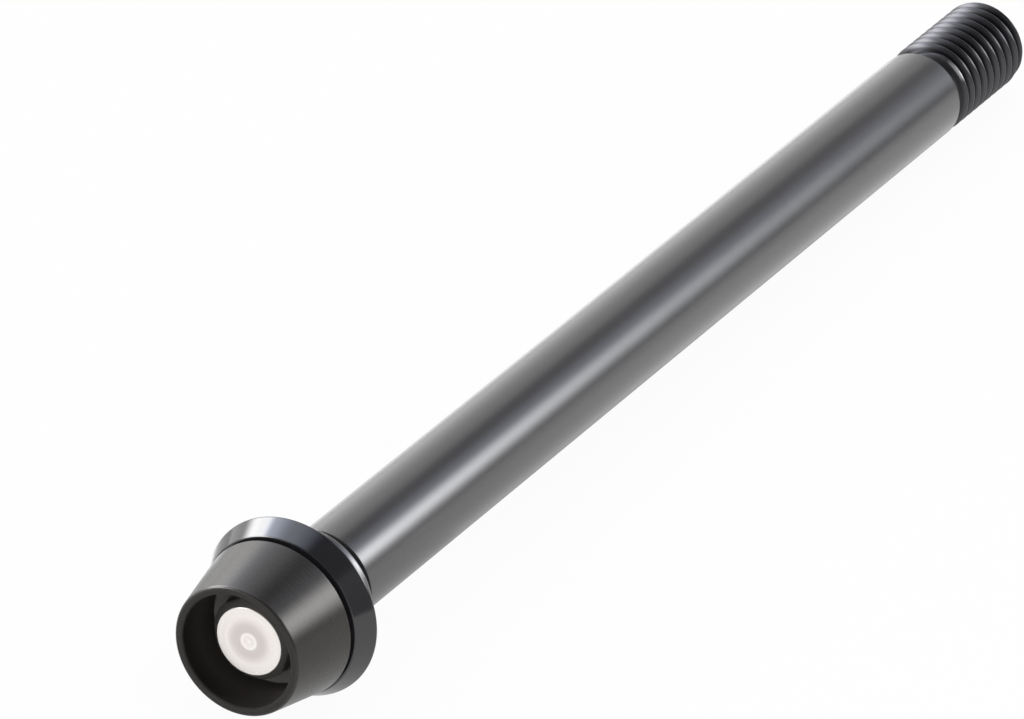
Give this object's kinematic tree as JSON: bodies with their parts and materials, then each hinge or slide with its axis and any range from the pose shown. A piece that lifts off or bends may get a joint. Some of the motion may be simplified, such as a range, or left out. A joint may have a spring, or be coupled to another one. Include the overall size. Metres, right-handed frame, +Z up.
{
  "type": "bicycle thru axle",
  "caption": "Black keyed thru axle: plain round shaft with a threaded end, and a head with a conical seat washer, a free-turning tapered guard cup and a silver key post.",
  "frame": {"origin": "on the axle's axis where the bare shaft begins, just past the retaining ring's groove", "axes": "+Y along the axle from the head towards the thread, +Z up as it lies on a table, +X to the right seen from the head"},
  "size_m": [0.0228, 0.1881, 0.0228],
  "materials": {
    "shaft_black": "satin black anodised",
    "guard_black": "satin black oxide, fine turned",
    "washer_black": "polished black oxide",
    "post_steel": "turned stainless",
    "ring_rubber": "matte"
  },
  "bodies": {
    "axle": {"axle_shaft": "shaft_black", "key_post": "post_steel", "retaining_ring": "ring_rubber"},
    "guard": {"guard_cup": "guard_black"},
    "washer": {"seat_washer": "washer_black"}
  },
  "joints": [
    {"name": "guard_spin", "type": "hinge", "parent": "axle", "child": "guard", "pos_m": [0, -0.0116, 0], "axis": [0, 1, 0], "continuous": true},
    {"name": "washer_spin", "type": "hinge", "parent": "axle", "child": "washer", "pos_m": [0, -0.0053, 0], "axis": [0, 1, 0], "continuous": true}
  ]
}
